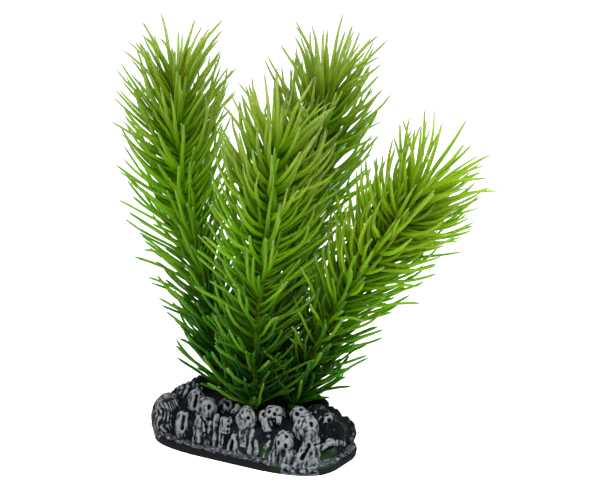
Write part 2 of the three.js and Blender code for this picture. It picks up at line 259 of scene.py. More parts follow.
# green plastic of the stems, with painted light and painted shade in its colour: a pair is a
# factor for a mask, and what is added to it
plasticLook = {
    "blade": [  # from the shaft to the tip, which is greyer
        (0.0, (0.095, 0.250, 0.0006, 1)),
        (0.40, (0.122, 0.262, 0.0015, 1)),
        (0.86, (0.150, 0.230, 0.006, 1)),
        (0.97, (0.088, 0.090, 0.062, 1)),
    ],
    "youngBlade": [  # more olive, in the crowns
        (0.18, (0.080, 0.200, 0.0006, 1)),
        (0.55, (0.160, 0.180, 0.009, 1)),
        (0.86, (0.245, 0.242, 0.075, 1)),
        (0.97, (0.088, 0.090, 0.062, 1)),
    ],
    "youngShare": 0.8,
    "bright": (0.185, 0.275, 0.003, 1),  # painted light: a lighter, yellower green on the stem that leans to the key light
    "paintedLightShare": 0.75,
    "paintedLightRises": 3.5,  # from the blade's root
    "paintedLightFalls": 8.0,  # to its tip
    # darker green: tone that differs from needle to needle, and painted shade low on the stems
    "dark": (0.045, 0.130, 0.0005, 1),
    "darkTone": (0.13, 0.12),  # differs from needle to needle
    "darkMottle": 0.14,
    "paintedShadeLow": 0.45,
    "lessLowIfPaintedLight": (-0.5, 1.0),
    "lowest": (0.030, 0.080, 0.004, 1),  # painted shade, darker still beside the foot
    "lowestFrom": (2.4, -1.7),
    "lowestShare": 0.8,
    "shaded": (0.092, 0.232, 0.0008, 1),  # the short needles behind the long ones
    "lessShadeIfPaintedLight": (-0.4, 0.85),
    "deep": (0.006, 0.030, 0.0015, 1),  # painted shade: low on the stems, near the shaft and on the short needles behind
    "nearShaft": (-0.5, 0.5),
    "deepPaintedShadeShare": 1.2,
    "grain": (220.0, 2600.0, 1.6),
    "roughness": (0.16, 0.36),
    "bump": (0.12, 0.08),  # strength and depth
    "specular": 0.12,
    "throughLight": 0.8,
    "throughRadius": (0.5, 1.0, 0.15),  # of red, green and blue
    "throughScale": 5,
}


def betweenEnds(tree, along, look):  # where the painted light falls on a blade: 0 at its root and its tip, 1 between
    rising = product(tree, along, look["paintedLightRises"], clamp=True)
    falling = scaled(tree, along, (-look["paintedLightFalls"], look["paintedLightFalls"]), clamp=True)
    return product(tree, rising, falling)


def plasticColour(tree, look, mottle):
    along, young, bright = maskOf(tree, "along"), maskOf(tree, "young"), maskOf(tree, "bright")
    tone, low, shade = maskOf(tree, "tone"), maskOf(tree, "low"), maskOf(tree, "shade")
    youngColour = rampOf(tree, along, look["youngBlade"])
    colour = rampOf(tree, along, look["blade"])
    colour = mixColour(tree, product(tree, young, look["youngShare"]), colour, youngColour)
    # painted light: a lighter green on the middle of each blade of the lit stems
    lit = product(tree, bright, betweenEnds(tree, along, look))
    colour = mixColour(tree, product(tree, lit, look["paintedLightShare"]), colour, look["bright"])
    darker = scaled(tree, tone, look["darkTone"])
    darker = scaled(tree, mottle, (look["darkMottle"], darker), clamp=True)
    colour = mixColour(tree, darker, colour, look["dark"])
    # painted shade: darker low on the stems, less on the stem with painted light, and darker
    # still beside the foot
    dim = product(tree, low, scaled(tree, bright, look["lessLowIfPaintedLight"]))
    colour = mixColour(tree, product(tree, dim, look["paintedShadeLow"]), colour, look["dark"])
    lowest = scaled(tree, low, look["lowestFrom"], clamp=True)
    colour = mixColour(tree, product(tree, lowest, look["lowestShare"]), colour, look["lowest"])
    shaded = product(tree, shade, scaled(tree, bright, look["lessShadeIfPaintedLight"]))
    colour = mixColour(tree, shaded, colour, look["shaded"])
    # painted shade deep in the lower plumes, near the shaft and on the short needles behind
    nearShaft = scaled(tree, along, look["nearShaft"], clamp=True)
    deep = product(tree, mathOf(tree, "MAXIMUM", nearShaft, shade), look["deepPaintedShadeShare"])
    return mixColour(tree, product(tree, deep, dim, clamp=True), colour, look["deep"])


def greenPlastic(look):
    material, tree, shader = newMaterial("green plastic")
    grain = addGrain(tree, look["grain"])
    finishSurface(tree, shader, look, grain, plasticColour(tree, look, grain.outputs["Mottle"]))
    feedAll(tree, shader, {
        "Subsurface Weight": look["throughLight"],
        "Subsurface Radius": look["throughRadius"],
        "Subsurface Scale": look["throughScale"] * mm,
    })
    return material


# stems: centre lines, whorls and needles, as in the solids
stemPlans = {
    "stem_left": {
        "line": [(-12, 4, 7.5), (-14, 4, 45), (-36.5, 4, 79), (-33, 4, 121)],
        "whorls": 18,
        "turned": 0,
        "lean": 44,  # of its needles, from the shaft
        "bend": 16,  # by how much they straighten up towards their tips
        "bright": 0.1,  # how much painted light it gets, as a lighter, yellower green
    },
    "stem_front": {
        "line": [(1, -3, 7.5), (5, -7, 45), (9.5, -9, 75), (14.5, -9, 110)],
        "whorls": 17,
        "turned": 20,
        "lean": 47,
        "bend": 36,
        "bright": 0.25,
    },
    "stem_back": {
        "line": [(1, 8, 7.5), (3, 14, 55), (13, 16, 90), (19.5, 15, 124)],
        "whorls": 18,
        "turned": 40,
        "lean": 43,
        "bend": 26,
        "bright": 0.0,
    },
    "stem_right": {
        "line": [(11, 4, 7.5), (19, 6, 46), (42, 7, 72), (59.5, 6, 98)],
        "whorls": 18,
        "turned": 10,
        "lean": 44,
        "bend": 28,
        "bright": 1.0,
    },
}
whorlPlan = {
    "needles": 6,
    "first": 8.5,  # along the shaft from its lower end
    "last": 2,  # from the shaft's tip
    "closing": 0.62,  # below 1, the whorls stand closer and closer towards the crown
    "crownShare": 0.2,  # of the whorls
    "lowShare": 0.55,
    "shaftRadius": 1.6,
    "shaftTipRadius": 0.9,
}
needlePlan = {
    "length": 31,
    "lowShortening": 0.16,
    "crownShortening": 0.01,
    "lengthVaries": 0.08,
    "rootDepth": 0.7,  # past the shaft's middle, in shaft radii
    "corner": 0.46,  # where the solid's straight parts meet, as a share of its length
    "shaftRoom": 2.7,  # from its middle to the middle of another stem's shaft
    "turnVaries": 12,
    "sidewaysVaries": 12,
    "facing": -59,  # the stems are moulded a little flat, and their flat sides face this way
    # the lean of each third: the share of the bend that is added, what the crown takes off, how
    # much it varies, and how much more in the crown
    "lower": (0.5, 20, 6, 4),
    "middle": (0, 15, 8, 0),
    "upper": (-0.5, 8, 24, -8),
}
# each trait varies by the multiples of the square root of its own number
roots = {
    "turn": 2, "length": 3, "lower": 5, "middle": 7, "upper": 11, "sideways": 13, "phase": 17,
    "wave": 19, "roll": 23, "twist": 29, "width": 31, "tone": 37, "taper": 41, "bow": 43,
}
# Rounds of needles. The first is that of the solids, and the others fill the room that it leaves.
# A shift is in whorls, and a length is a share of a whole needle's.
roundTraits = ("shift", "turned", "from", "upTo", "length", "room",
               "flattening", "leanLoss", "shade", "lowShade", "broad")
needleRounds = [dict(zip(roundTraits, values)) for values in (
    (0, 0, 0, 1, 1, 1.6, 16, 0, 0, 0, 1),
    (0.5, 25, 0, 1, 0.95, 1.3, 30, 5, 0.15, 0.8, 1),
    (0.3, 8, 0.75, 1, 0.97, 1.0, 16, 0, 0.1, 0.1, 1),
    (0, 30, 0.86, 1, 1, 0.9, 16, 0, 0.1, 0.1, 1),
    (0.25, 47, 0, 0.93, 0.70, 0.7, 34, 12, 0.6, 1, 1.1),
    (0.75, 12, 0, 0.9, 0.62, 0.7, 34, 14, 0.9, 1, 1.1),
    (0, 30, 0, 0.2, 0.85, 0.65, 10, -6, 0.8, 0.8, 1),
    (0.5, 55, 0, 0.2, 0.8, 0.6, 10, 4, 0.9, 0.9, 1),
)]
# turn and lift of each place that is tried for a needle, until one has room
swings = [
    (0, 0), (8, 0), (-8, 0), (0, 7), (0, -7), (16, 0), (-16, 0),
    (10, 8), (-10, 8), (10, -8), (-10, -8), (24, 0), (-24, 0),
]
lengthsTried = [1, 0.85, 0.7, 0.5]
# shares of a stem's height between which its needles change
changesBetween = {
    "young": (0.5, 1.0),
    # painted light grows up the stem between these shares
    "bright": (0.0, 0.7),
    # painted shade low on the stem fades out between these shares
    "low": (0.0, 0.66),
    "shade": (0.35, 0.75),
}
curveSteps = 200  # for measuring along a stem
shaftParts = 24  # straight parts of a shaft that other stems' needles keep clear of
nearlyParallel = 1e-9
farAway = 1000.0


def spread(count, trait):  # a value from -1 to 1 that differs from needle to needle
    multiple = count * math.sqrt(roots[trait])
    return 2 * (multiple - math.floor(multiple)) - 1


def bezierPoint(line, t):
    s = 1 - t
    return s ** 3 * line[0] + 3 * s * s * t * line[1] + 3 * s * t * t * line[2] + t ** 3 * line[3]


def bezierSlope(line, t):
    s = 1 - t
    return (3 * s * s * (line[1] - line[0]) + 6 * s * t * (line[2] - line[1])
            + 3 * t * t * (line[3] - line[2]))


class StemCurve:  # a cubic Bezier curve read by its own length
    def __init__(self, line):
        self.line = np.array(line, float)
        self.steps = np.arange(curveSteps + 1) / curveSteps
        steps = np.array([bezierPoint(self.line, step) for step in self.steps])
        gaps = np.linalg.norm(np.diff(steps, axis=0), axis=1)
        self.lengths = np.concatenate([[0], np.cumsum(gaps)])
        self.length = self.lengths[-1]

    def parameter(self, share):
        return float(np.interp(share * self.length, self.lengths, self.steps))

    def point(self, share):
        return bezierPoint(self.line, self.parameter(share))

    def tangent(self, share):
        return unit(bezierSlope(self.line, self.parameter(share)))


def crossDirections(axis):
    across = unit(np.cross((0, 1, 0), axis))
    return across, np.cross(axis, across)


def distances(start, end, starts, ends):  # from one straight line to many
    alongA, alongB, apart = end - start, ends - starts, start - starts
    a, b, c = alongA @ alongA, alongB @ alongA, apart @ alongA
    e = np.einsum("ij,ij->i", alongB, alongB)
    f = np.einsum("ij,ij->i", alongB, apart)
    area = a * e - b * b
    safe = np.where(area > nearlyParallel, area, 1)
    s = np.where(area > nearlyParallel, np.clip((b * f - c * e) / safe, 0, 1), 0)
    t = np.clip((b * s + f) / e, 0, 1)
    s = np.clip((b * t - c) / a, 0, 1)
    return np.linalg.norm(apart + np.outer(s, alongA) - alongB * t[:, None], axis=1)


def needleLine(place, traits, turn, lift, shortening):
    centre, axis, across, over, shaftRadius = place
    around = math.radians(traits["around"] + turn)
    out = across * math.cos(around) + over * math.sin(around)
    side = np.cross(axis, out)
    third = traits["length"] * shortening / 3
    points = [centre - out * needlePlan["rootDepth"] * shaftRadius]
    for lean, sideways in traits["legs"]:
        lean, sideways = math.radians(lean + lift), math.radians(sideways)
        outwards = math.sin(lean)
        points.append(points[-1] + third * (
            axis * math.cos(lean) + out * outwards * math.cos(sideways)
            + side * outwards * math.sin(sideways)))
    return np.array(points), side, out


def clearParts(line):
    corner = bezierPoint(line, needlePlan["corner"])
    return [((line[0] + corner) / 2, corner), (corner, line[3])]


class Taken:  # the straight parts of the needles that stand already, after one far from them all
    def __init__(self):
        self.starts = np.full((1, 3), farAway)
        self.ends = self.starts + 1

    def add(self, line):
        starts, ends = zip(*clearParts(line))
        self.starts = np.concatenate([self.starts, starts])
        self.ends = np.concatenate([self.ends, ends])


def hasRoom(line, placed, otherShafts, room):
    for start, end in clearParts(line):
        if distances(start, end, placed.starts, placed.ends).min() <= room:
            return False
        if distances(start, end, *otherShafts).min() <= needlePlan["shaftRoom"]:
            return False
    return True


def grownNeedle(place, traits, placed, otherShafts, room):
    for shortening in lengthsTried:
        for turn, lift in swings:
            line, side, out = needleLine(place, traits, turn, lift, shortening)
            if hasRoom(line, placed, otherShafts, room):
                return {"line": line, "side": side, "out": out}
    return None


def leanOf(third, lean, bend, crown, n):
    bendShare, crownLoss, varies, crownVaries = needlePlan[third]
    usual = lean + bendShare * bend - crownLoss * crown
    return usual + (varies + crownVaries * crown) * spread(n, third)


def flattened(angle, most):  # turned towards the nearer side of its stem
    return angle + most * math.sin(2 * math.radians(angle - needlePlan["facing"]))


def traitsOf(plan, level, n, angle, share):
    crown = smooth(1 - whorlPlan["crownShare"], 1, share)
    low = 1 - smooth(0, whorlPlan["lowShare"], share)
    shortened = 1 - needlePlan["lowShortening"] * low - needlePlan["crownShortening"] * crown
    varied = 1 + needlePlan["lengthVaries"] * spread(n, "length")
    sideways = needlePlan["sidewaysVaries"] * spread(n, "sideways")
    angle = angle + needlePlan["turnVaries"] * spread(n, "turn")
    lean, bend = plan["lean"] - level["leanLoss"], plan["bend"]
    return {
        "around": flattened(angle, level["flattening"] * (1 - crown)),
        "length": needlePlan["length"] * level["length"] * shortened * varied,
        "legs": [  # lean and sideways turn of each third
            (leanOf("lower", lean, bend, crown, n), 0),
            (leanOf("middle", lean, bend, crown, n), sideways),
            (leanOf("upper", lean, bend, crown, n), 2 * sideways),
        ],
    }


def whorlHeight(share, length):
    eased = share + (1 - whorlPlan["closing"]) * (share - share * share) / 2
    first, last = whorlPlan["first"], whorlPlan["last"]
    return (first + (length - first - last) * eased) / length


def shaftRadiusAt(height):
    return between(whorlPlan["shaftRadius"], whorlPlan["shaftTipRadius"], height)


def changeAt(name, share):  # from 0 to 1 up the stem
    return smooth(*changesBetween[name], share)


def shadeAt(level, share):  # low on a stem all but the first round of needles are in the dark
    return between(level["shade"], level["lowShade"], 1 - changeAt("shade", share))


def growWhorls(plan, curve, level, n, placed, otherShafts):
    needles = []
    for whorl in range(plan["whorls"]):
        share = (whorl + level["shift"]) / (plan["whorls"] - 1)
        if not level["from"] <= share <= level["upTo"]:
            continue
        height = whorlHeight(share, curve.length)
        axis = curve.tangent(height)
        place = (curve.point(height), axis, *crossDirections(axis), shaftRadiusAt(height))
        for k in range(whorlPlan["needles"]):
            n += 1
            step = k + (whorl % 2) / 2  # every second whorl is turned by half a step
            angle = plan["turned"] + level["turned"] + 360 / whorlPlan["needles"] * step
            traits = traitsOf(plan, level, n, angle, share)
            needle = grownNeedle(place, traits, placed, otherShafts, level["room"])
            if needle:
                needle.update(share=share, n=n, shade=shadeAt(level, share), broad=level["broad"])
                needles.append(needle)
                placed.add(needle["line"])
    return needles, n


def shaftsBeside(name, curves):  # the straight parts of the other stems' shafts
    lines = [np.array([curve.point(i / shaftParts) for i in range(shaftParts + 1)])
             for other, curve in curves.items() if other != name]
    return (np.concatenate([line[:-1] for line in lines]),
            np.concatenate([line[1:] for line in lines]))


def growStems():  # a needle is left out where no swing and no length gives it room
    curves = {name: StemCurve(plan["line"]) for name, plan in stemPlans.items()}
    grown = {name: {"curve": curve, "needles": []} for name, curve in curves.items()}
    placed, n = Taken(), 0
    for level in needleRounds:
        for name, plan in stemPlans.items():
            others = shaftsBeside(name, curves)
            needles, n = growWhorls(plan, curves[name], level, n, placed, others)
            grown[name]["needles"] += needles
    return grown


# what the needles look like close up
needleLook = {
    "width": 1.46,
    "lowWidth": 1.14,  # of the blunter needles on the lower half
    "widthVaries": 0.08,
    "depthShare": 0.86,
    "stations": 17,
    "sides": 8,
    "bow": -0.9,  # how far its middle stands out from the line between its ends, off the shaft
    "crownBow": 1.5,
    "bowsFrom": (0.3, 0.8),
    "topBow": -2.4,  # the last whorls flare outwards
    "topBowsFrom": (0.86, 0.97),
    "bowVaries": (0.7, 0.5),  # its usual share, and how much more or less
    "bowSkew": 1.2,  # above 1 it is deepest nearer the tip
    "wave": 1.1,  # how far the blade snakes off its line
    "waveVaries": (0.6, 0.4),
    "waveFrom": (0.2, 0.85),
    "waveFades": 0.4,
    "waveAngles": (5.5, 5),  # along the whole blade in radians, up and down and sideways
    "waveSideways": 0.8,
    "roll": 40,
    "twist": 40,
    # width along the blade, as shares of the whole: it flares into the shaft and draws out to its
    # tip, or ends bluntly low on the stem
    "places": (0, 0.05, 0.12, 0.30, 0.50, 0.70, 0.87, 0.96, 1),
    "widths": (1.4, 1.15, 1.08, 1.05, 1.0, 0.85, 0.66, 0.47, 0.23),
    "lowWidths": (1.5, 1.15, 1.0, 1.0, 1.0, 1.0, 0.98, 0.88, 0.50),
    "bluntUpTo": (0.35, 0.8),
    "taperVaries": 0.15,  # how much thinner some blades get towards their tips
    "tapersFrom": (0.4, 1),
    "flattens": 0.15,  # how much less deep it gets towards its tip
    "flattensFrom": (0.5, 1),
}
shaftLook = {
    "stations": 130,
    "sides": 24,
    "swelling": 0.14,
    "swellingReach": 2.2,
    "swellingRise": 1 / 3,  # of its reach, above the whorl
    "endRadii": (0.8, 0.35),  # of the last two stations, as shares
    "along": 0.12,  # the colour of a needle's root
    "tone": -0.5,
    # painted shade low on the shaft
    "low": 0.2,
    "rootPaintedShade": 0.6,  # painted shade, darker still where it stands in the foot
    "rootUpTo": (0.04, 0.2),
}


def ringValues(values, sides):  # a value for every point of a tube and for its two end points
    return np.concatenate([np.repeat(values, sides), [0, 1]])


def bowOf(needle, look):
    bow = between(look["bow"], look["crownBow"], smooth(*look["bowsFrom"], needle["share"]))
    bow = between(bow, look["topBow"], smooth(*look["topBowsFrom"], needle["share"]))
    usual, varies = look["bowVaries"]
    size = np.linalg.norm(needle["line"][3] - needle["line"][0]) / needlePlan["length"]
    return bow * (usual + varies * spread(needle["n"], "bow")) * size


def bladeCentres(needle, look, t, across, over):
    line, n = needle["line"], needle["n"]
    centres = np.array([bezierPoint(line, step) for step in t])
    outer = np.cross(line[3] - line[0], needle["side"])
    outer = unit(outer) * math.copysign(1, outer @ needle["out"])
    bow = bowOf(needle, look) * np.sin(math.pi * t ** look["bowSkew"])
    centres = centres + outer * bow[:, None]
    usual, varies = look["waveVaries"]
    envelope = smooth(*look["waveFrom"], t) * (1 - look["waveFades"] * t)
    wave = look["wave"] * (usual + varies * spread(n, "wave")) * envelope
    phase = math.pi * spread(n, "phase")
    upwards, sideways = look["waveAngles"]
    centres = centres + over * (wave * np.sin(upwards * t + phase))[:, None]
    aside = wave * look["waveSideways"] * np.cos(sideways * t + 2 * phase)
    return centres + across * aside[:, None]


def bladeHalfWidths(needle, look, t):
    n = needle["n"]
    blunt = 1 - smooth(*look["bluntUpTo"], needle["share"])
    thinner = look["taperVaries"] * (0.5 + 0.5 * spread(n, "taper"))
    drawnOut = np.interp(t, look["places"], look["widths"])
    drawnOut = drawnOut * (1 - thinner * smooth(*look["tapersFrom"], t))
    widths = between(drawnOut, np.interp(t, look["places"], look["lowWidths"]), blunt)
    widest = between(look["width"], look["lowWidth"], blunt)
    varied = 1 + look["widthVaries"] * spread(n, "width")
    return widest / 2 * widths * needle["broad"] * varied


def needlePoints(needle, look):
    t = np.linspace(0, 1, look["stations"])
    line, n = needle["line"], needle["n"]
    tangents = unit(np.array([bezierSlope(line, step) for step in t]))
    across = unit(needle["side"] - tangents * (tangents @ needle["side"])[:, None])
    over = np.cross(tangents, across)
    centres = bladeCentres(needle, look, t, across, over)
    roll = look["roll"] * spread(n, "roll")
    turn = np.radians(roll + look["twist"] * spread(n, "twist") * t)
    turned = across * np.cos(turn)[:, None] + over * np.sin(turn)[:, None]
    over = np.cross(tangents, turned)
    halfWidths = bladeHalfWidths(needle, look, t)
    flattened = 1 - look["flattens"] * smooth(*look["flattensFrom"], t)
    halfDepths = look["depthShare"] * halfWidths * flattened
    points = tubePoints(centres, turned, over, halfWidths, halfDepths, look["sides"])
    return points, ringValues(t, look["sides"])


def shaftPoints(curve, whorlHeights, look):
    heights = np.linspace(0, 1, look["stations"])
    centres = np.array([curve.point(height) for height in heights])
    axes = np.array([curve.tangent(height) for height in heights])
    across, over = crossDirections(axes)
    reach = look["swellingReach"] / curve.length
    swollenAt = whorlHeights + reach * look["swellingRise"]
    near = np.min(np.abs(heights[:, None] - swollenAt[None, :]), axis=1)
    radii = np.array([shaftRadiusAt(height) for height in heights])
    radii = radii * (1 + look["swelling"] * (1 - smooth(0, reach, near)))
    radii[-2:] *= look["endRadii"]
    points = tubePoints(centres, across, over, radii, radii, look["sides"])
    return points, ringValues(heights, look["sides"])


def addShaft(parts, name, curve, look):
    shares = np.linspace(0, 1, stemPlans[name]["whorls"])
    whorlHeights = np.array([whorlHeight(share, curve.length) for share in shares])
    points, heights = shaftPoints(curve, whorlHeights, look)
    # painted shade low on the shaft, darker still where it stands in the foot
    low = look["low"] * (1 - changeAt("low", heights))
    low = low + look["rootPaintedShade"] * (1 - smooth(*look["rootUpTo"], heights))
    parts.add(points, tubeFaces(look["stations"], look["sides"]), along=look["along"],
              young=changeAt("young", heights), low=low, tone=look["tone"], shade=0, bright=0)


def buildStem(name, stem, material):
    parts = MeshParts(("along", "young", "low", "tone", "shade", "bright"))
    addShaft(parts, name, stem["curve"], shaftLook)
    faces = tubeFaces(needleLook["stations"], needleLook["sides"])
    for needle in stem["needles"]:
        points, along = needlePoints(needle, needleLook)
        share = needle["share"]
        # painted light, more of it higher up the stem
        bright = stemPlans[name]["bright"] * changeAt("bright", share)
        parts.add(points, faces, along=along, young=changeAt("young", share),
                  low=1 - changeAt("low", share), tone=spread(needle["n"], "tone"),
                  shade=needle["shade"], bright=bright)
    points, allFaces, masks = parts.joined()
    piece = meshObject(name + "_moulding", points, allFaces, masks, material)
    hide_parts(name)
    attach(piece, "root")
    print(name, "has", len(stem["needles"]), "needles and", len(allFaces), "faces")


plasticMaterial = greenPlastic(plasticLook)
grownStems = growStems()
for stemName, stem in grownStems.items():
    buildStem(stemName, stem, plasticMaterial)


# rock foot
footPlan = {
    "length": 73,
    "depth": 39,
    "squareness": 3.4,
    # height and inset of each level of the body
    "levels": [(0, 0), (2.8, 0), (3.2, 2.2), (11, 4.4), (13.6, 7.0), (15.4, 11.0)],
    "sides": 96,
    # rings and sides of the tubes that it is put together from
    "ballGrid": (18, 28),
    "runGrid": (8, 24),
    "socketGrid": (2, 32),
    "ballPole": 0.02,  # share of a ball's width that is left at its two poles
    "voxel": 0.355,
    "melting": 2,  # smoothing steps that melt the knobs together
    "softening": 24,  # smoothing steps of the surface that tells what is raised
    "pace": 0.5,  # of the way to its neighbours' middle, at each smoothing step
    "flatBelow": 0.12,  # points under this height are put on the ground
    "socketGap": 0.35,
    "socketReach": 20,
}

# centre, half sizes, and how much silver paint was brushed on
knobs = {
    "cornerLeft": ((-29.6, -10.2, 7.8), (5.8, 6.4, 9.2), 0.85),
    "backLeft": ((-25, -3, 14.8), (4.6, 4.8, 4.8), 0.7),
    "darkBack": ((-25.5, 6, 14), (5.4, 5.2, 5), 0.15),
    "slotted": ((-18, -9.5, 15), (3, 3.6, 5.6), 0.85),
    "ringed": ((-20, -15.2, 8.4), (3, 2.8, 5.4), 0.85),
    "headA": ((-11, -13.6, 16), (3.5, 3.6, 4.2), 1.0),
    "looped": ((-6.2, -8.5, 15.8), (3, 2.8, 3.2), 0.6),
    "headC": ((5.6, -14.2, 15.2), (3.4, 3.4, 5), 1.0),
    "forked": ((14, -10, 18), (3.4, 3.2, 2.6), 0.95),
    "forkedLeft": ((11.2, -11.6, 16.8), (1.9, 2.2, 2.4), 0.95),
    "inner": ((12.4, -5.4, 15.2), (3.8, 3.4, 3.4), 0.5),
    "innerRight": ((21.6, -5, 17.4), (3.4, 3, 2.8), 0.85),
    "behindG": ((24, 3, 14.6), (4.4, 4, 4), 0.5),
    "innerLeft": ((-8, -4.4, 14), (4, 3.2, 2.8), 0.3),
    "innerBack": ((-8, 12, 13.8), (4.4, 3.6, 3.4), 0.3),
    "headH": ((21.2, -14.4, 10.4), (3.5, 3.5, 3.9), 1.0),
    "headG": ((27.8, -11.2, 15.6), (4.3, 4.2, 4.8), 1.0),
    "rightTop": ((28, 2, 13.2), (3.6, 3.8, 3.8), 0.7),
    "backRight": ((18.2, 12, 13.6), (4.4, 4.2, 4.6), 0.25),
    "backCorner": ((24.8, 9.6, 11.4), (4.4, 4.2, 4.6), 0.35),
    "endRight": ((31.4, -0.6, 8), (4.2, 7.2, 7), 0.3),
    "endLeft": ((-32.6, 2, 8), (3.6, 6, 7.2), 0.5),
    "cornerBackLeft": ((-29.6, 12, 8), (4.6, 4.8, 7), 0.5),
    "backA": ((-17, 13.2, 13), (4.6, 4.6, 5.2), 0.6),
    "backB": ((-15.6, 16.2, 6.6), (3.6, 2.8, 6), 0.6),
    "backC": ((-1.4, 15, 12.8), (4.2, 3.6, 5), 0.7),
    "backD": ((-4, 16.6, 6.2), (3.4, 2.4, 6), 0.6),
    "backE": ((9.4, 14.8, 13), (4.6, 3.8, 5), 0.7),
    "backF": ((10, 16.6, 6.6), (3.6, 2.4, 6), 0.6),
    "backG": ((21, 15.6, 7), (4, 3.2, 6.4), 0.6),
    "cornerBackRight": ((29.6, 10.8, 7), (4.4, 4.8, 5.8), 0.5),
}

# drips and skirts: from, to, first radius, second radius, silver
runs = [
    # under the left head
    ((-11.7, -14.8, 14), (-12.6, -15.2, 2.8), 2.6, 3.3, 0.95),
    ((-8.9, -15.4, 12.5), (-8.6, -16.2, 3), 1.0, 1.4, 0.9),
    ((-6.4, -14.8, 15), (-5.6, -17, 3), 0.9, 1.1, 0.9),
    # a column with a leg to the left
    ((-2.2, -14.6, 14.6), (-2.2, -15.6, 9.4), 1.9, 2.3, 1.0),
    ((-2.8, -15.6, 9.4), (-3.8, -16.8, 2.8), 1.7, 1.2, 1.0),
    # two legs of an arch
    ((1.7, -15.8, 9.6), (-0.4, -17.0, 3), 0.9, 1.0, 1.0),
    ((1.7, -15.8, 9.8), (3.5, -16.8, 3.2), 1.0, 1.4, 1.0),
    # under the middle head
    ((5.4, -14.6, 13), (5.6, -16.2, 6.0), 2.2, 1.4, 1.0),
    ((8.0, -14.6, 12.4), (8.9, -16.8, 3.6), 1.2, 1.0, 0.9),
    ((10.6, -15.4, 9.5), (11.5, -17, 3.6), 0.8, 1.0, 0.8),
    ((15.6, -15, 10), (14.4, -16.8, 4), 0.9, 1.1, 0.7),
    # arms on the top of the foot
    ((-2.1, -11, 14.8), (-1, -8.5, 17.6), 0.9, 0.8, 0.8),
    ((12.6, -12.4, 16.6), (14.4, -14.4, 12.6), 1.8, 1.5, 0.95),
    ((17, -11.6, 17.6), (18, -13, 15.8), 1.1, 0.9, 0.9),
    ((21.2, -7, 17.6), (22.2, -8.8, 16), 1.1, 1.0, 0.9),
    # skirts of the two right heads
    ((20.8, -14.6, 9), (17.0, -16.4, 2.6), 2.8, 2.3, 1.05),
    ((22.6, -14.4, 8), (23.0, -16.2, 2.0), 2.6, 2.7, 1.05),
    ((29, -11.8, 15), (30.6, -12, 10.8), 3.5, 2.7, 1.0),
    ((31, -11.6, 10.4), (31.2, -13.2, 1.6), 2.4, 2.4, 1.1),
    ((29, -12.4, 10.8), (25.6, -15.8, 1.2), 1.6, 2.1, 1.1),
    ((28.8, -11.8, 10), (28.6, -14.6, 1.0), 2.0, 2.3, 1.1),
    # arched arm at the right end
    ((33.2, -10.6, 9), (34.6, -7.4, 10.7), 0.9, 1.1, 1.0),
    ((34.6, -7.4, 10.7), (35, 1.6, 7.4), 1.1, 0.9, 0.9),
]

# hollows: from, to, radius, depth
hollows = [
    ((-16.6, -11.3, 19.0), (-16.6, -12.7, 15.4), 0.75, 2.0),
    ((-16.0, -9.3, 19.2), (-16.0, -9.5, 19.0), 0.6, 1.2),
    ((-18.7, -16.5, 12.5), (-18.8, -17.8, 8.0), 0.7, 1.8),
    ((-8.6, -15.6, 17.9), (-8.7, -15.6, 17.4), 0.85, 1.8),
    ((-0.6, -15.7, 14.3), (-0.6, -15.7, 14.1), 0.6, 1.3),
    ((-0.5, -16.2, 12.3), (-0.5, -16.2, 12.1), 0.6, 1.3),
    ((-0.4, -16.7, 10.6), (-0.4, -16.7, 10.4), 0.55, 1.1),
    ((-4.6, -10.0, 17.9), (-4.6, -10.0, 17.6), 0.9, 1.6),
    ((1.3, -17.1, 7.4), (0.9, -17.1, 4.0), 0.8, 1.6),
    ((5.2, -16.3, 19.0), (5.3, -16.4, 18.8), 0.7, 1.4),
    ((7.8, -16.4, 17.3), (7.8, -16.4, 17.0), 0.65, 1.4),
    ((13.4, -12.4, 19.6), (13.6, -12.6, 19.2), 0.7, 1.4),
    ((15.8, -12.4, 19.1), (15.9, -12.5, 18.8), 0.7, 1.4),
    ((11.6, -13.1, 18.5), (11.6, -13.2, 18.1), 0.6, 1.3),
    ((21.6, -7.8, 18.8), (22.0, -7.8, 18.6), 0.8, 1.4),
    ((22.8, -15.7, 13.5), (22.9, -15.8, 13.2), 0.7, 1.3),
    ((20.5, -17.7, 11.2), (20.5, -17.7, 10.8), 0.75, 1.5),
    ((23.3, -17.2, 10.5), (23.3, -17.2, 9.8), 0.7, 1.4),
    ((26.1, -13.9, 18.7), (26.3, -14.0, 18.3), 0.9, 1.6),
    ((30.9, -12.6, 18.5), (31.0, -12.7, 18.1), 0.85, 1.5),
    ((30.9, -14.7, 11.2), (28.6, -15.4, 6.2), 0.8, 1.9),
    ((27.8, -1.1, 15.4), (27.9, -1.2, 15.1), 0.9, 1.4),
    ((30.4, 0.2, 15.4), (30.5, 0.1, 15.1), 0.9, 1.4),
    ((33.9, -7.0, 8.1), (35.0, -5.4, 7.8), 0.85, 1.5),
    # fine drip lines on the left column
    ((-11.5, -17.4, 14.2), (-9.9, -16.7, 12.1), 0.45, 0.8),
    ((-9.9, -16.7, 12.1), (-9.6, -16.5, 9.4), 0.4, 0.8),
    ((-9.6, -16.5, 9.4), (-10.3, -17.3, 7.7), 0.4, 0.7),
    ((5.1, -17.0, 11.1), (7.4, -16.8, 13.4), 0.4, 0.6),
]

# where the ground is painted green: centre and radius
mossSpots = [
    ((33.4, -10.4, 4), 3.8),
    ((35.2, -5, 5), 3.4),
    ((14.6, -17, 5), 2.0),
    ((19.6, -18.4, 2.6), 2.2),
    ((10, -16.6, 4), 1.6),
    ((24, 3, 17), 3.4),
]


def oblong(angles, halfLength, halfDepth):
    power = 2 / footPlan["squareness"]
    x, y = np.cos(angles), np.sin(angles)
    return (halfLength * np.sign(x) * np.abs(x) ** power,
            halfDepth * np.sign(y) * np.abs(y) ** power)


